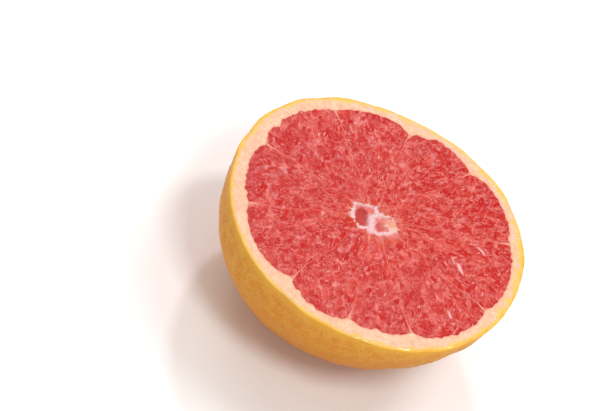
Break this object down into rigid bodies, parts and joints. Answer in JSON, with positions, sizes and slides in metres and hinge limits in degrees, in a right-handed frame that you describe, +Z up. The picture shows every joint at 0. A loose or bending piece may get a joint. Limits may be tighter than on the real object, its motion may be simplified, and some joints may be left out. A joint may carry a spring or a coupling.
{
  "type": "cut half of a pomelo, a thin-skinned citrus fruit with red flesh",
  "caption": "Cut half of a citrus fruit lying on its rind: a bowl of skin, white pith with thin membranes and a core, and wedges of juicy flesh.",
  "frame": {"origin": "on the surface it lies on, under the middle of its outline", "axes": "+Z up out of the cut face, along the half's shortest extent; +Y is the side away from the picture's camera and +X is to its right"},
  "size_m": [0.1126, 0.1126, 0.0489],
  "materials": {
    "rind": "satin",
    "pith": "matte",
    "pulp": "satin"
  },
  "bodies": {
    "root": {"rind": "rind", "pith": "pith", "pulp_01": "pulp", "pulp_02": "pulp", "pulp_03": "pulp", "pulp_04": "pulp", "pulp_05": "pulp", "pulp_06": "pulp", "pulp_07": "pulp", "pulp_08": "pulp", "pulp_09": "pulp", "pulp_10": "pulp"}
  },
  "joints": []
}
